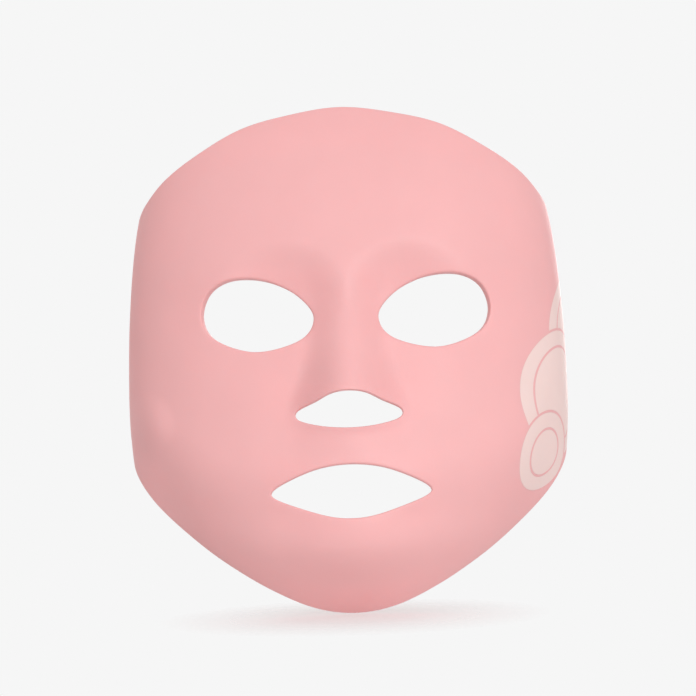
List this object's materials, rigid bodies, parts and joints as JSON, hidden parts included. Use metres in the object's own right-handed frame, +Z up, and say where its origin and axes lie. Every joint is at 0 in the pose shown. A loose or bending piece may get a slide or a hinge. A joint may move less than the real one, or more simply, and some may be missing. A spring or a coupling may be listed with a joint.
{
  "type": "light and massage face mask",
  "caption": "Flexible silicone full-face mask with eye, nostril and mouth openings, light panels, small massage motors and strap slots.",
  "frame": {"origin": "on the wearer's side of the mask at the bridge of the nose, level with the eyes, in the median plane", "axes": "+Z up as worn, front of the mask towards -Y, +X to the wearer's left"},
  "size_m": [0.1828, 0.0995, 0.2067],
  "materials": {
    "skin_silicone": "soft matte silicone",
    "pale_silicone": "soft matte silicone",
    "liner_silicone": "clear-pink satin silicone",
    "dark_silicone": "matte silicone",
    "circuit_film": "amber polyimide film",
    "led_package": "white package with a clear lens",
    "plate_steel": "brushed",
    "socket_steel": "drawn",
    "black_plastic": "matte",
    "contact_gold": "gold plate",
    "circuit_board": "green solder mask",
    "chip_black": "matte moulded",
    "can_steel": "drawn",
    "magnet_black": "bonded ferrite",
    "shaft_steel": "ground",
    "rotor_brass": "sintered"
  },
  "bodies": {
    "mask": {"outer_shell": "skin_silicone", "cheek_inlay_upper": "pale_silicone", "cheek_inlay_middle": "pale_silicone", "cheek_inlay_lower": "pale_silicone", "face_liner": "liner_silicone", "eye_seal_left": "dark_silicone", "eye_seal_right": "dark_silicone", "circuit_forehead": "circuit_film", "circuit_left_cheek": "circuit_film", "circuit_right_cheek": "circuit_film", "circuit_nose": "circuit_film", "circuit_upper_lip": "circuit_film", "circuit_chin": "circuit_film", "leds_forehead": "led_package", "leds_left_cheek": "led_package", "leds_right_cheek": "led_package", "leds_nose": "led_package", "leds_upper_lip": "led_package", "leds_chin": "led_package", "strap_plate_left": "plate_steel", "strap_plate_right": "plate_steel", "socket_shell": "socket_steel", "socket_tongue": "black_plastic", "socket_contacts": "contact_gold", "socket_board": "circuit_board", "socket_chips": "chip_black", "left_temple_can": "can_steel", "left_temple_base": "circuit_board", "left_temple_magnet": "magnet_black", "left_temple_shaft": "shaft_steel", "left_cheek_can": "can_steel", "left_cheek_base": "circuit_board", "left_cheek_magnet": "magnet_black", "left_cheek_shaft": "shaft_steel", "right_temple_can": "can_steel", "right_temple_base": "circuit_board", "right_temple_magnet": "magnet_black", "right_temple_shaft": "shaft_steel", "right_cheek_can": "can_steel", "right_cheek_base": "circuit_board", "right_cheek_magnet": "magnet_black", "right_cheek_shaft": "shaft_steel"},
    "left_temple_rotor": {"left_temple_rotor": "rotor_brass"},
    "left_cheek_rotor": {"left_cheek_rotor": "rotor_brass"},
    "right_temple_rotor": {"right_temple_rotor": "rotor_brass"},
    "right_cheek_rotor": {"right_cheek_rotor": "rotor_brass"}
  },
  "joints": [
    {"name": "left_temple_spin", "type": "hinge", "parent": "mask", "child": "left_temple_rotor", "pos_m": [0.07051, 0.01947, 0.00452], "axis": [-0.6248, 0.7793, 0.0478], "continuous": true},
    {"name": "left_cheek_spin", "type": "hinge", "parent": "mask", "child": "left_cheek_rotor", "pos_m": [0.03854, 0.00489, -0.03127], "axis": [-0.209, 0.9732, -0.0963], "continuous": true},
    {"name": "right_temple_spin", "type": "hinge", "parent": "mask", "child": "right_temple_rotor", "pos_m": [-0.07051, 0.01947, 0.00452], "axis": [0.6248, 0.7793, 0.0478], "continuous": true},
    {"name": "right_cheek_spin", "type": "hinge", "parent": "mask", "child": "right_cheek_rotor", "pos_m": [-0.03854, 0.00489, -0.03127], "axis": [0.209, 0.9732, -0.0963], "continuous": true}
  ]
}
